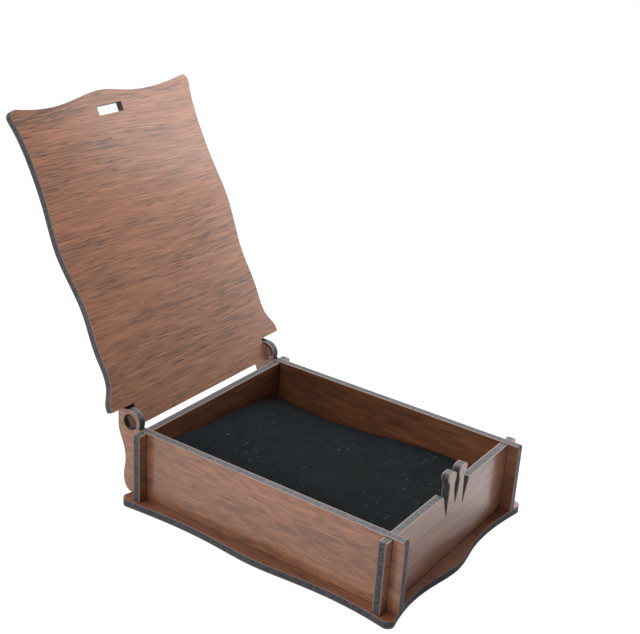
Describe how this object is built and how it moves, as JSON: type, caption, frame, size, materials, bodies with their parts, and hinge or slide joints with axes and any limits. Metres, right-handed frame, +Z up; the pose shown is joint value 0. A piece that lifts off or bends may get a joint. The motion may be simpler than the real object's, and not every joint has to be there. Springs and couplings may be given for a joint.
{
  "type": "gift box",
  "caption": "Small hinged gift box for jewelry, cut from walnut-veneered board: waved base and lid, halved walls, pronged snap catch, black velvet bed",
  "frame": {"origin": "centre of the box on the underside of the base plate, midway between the outer faces of the walls", "axes": "+Z up, -Y towards the catch in the front wall, +Y towards the hinge, X along the hinge axis; the lid stands open"},
  "size_m": [0.1294, 0.2284, 0.1833],
  "materials": {
    "walnut_board": "satin veneer with charred laser-cut edges",
    "black_velvet": "short-pile velvet",
    "foam": "open-cell foam"
  },
  "bodies": {
    "box": {"base_plate": "walnut_board", "front_wall": "walnut_board", "rear_wall": "walnut_board", "left_wall": "walnut_board", "right_wall": "walnut_board", "velvet_cover": "black_velvet", "foam_core": "foam"},
    "lid": {"lid": "walnut_board"}
  },
  "joints": [
    {"name": "lid_hinge", "type": "hinge", "parent": "box", "child": "lid", "pos_m": [0, 0.0777, 0.0423], "axis": [1, 0, 0], "range_deg": [0, 116.7]}
  ]
}
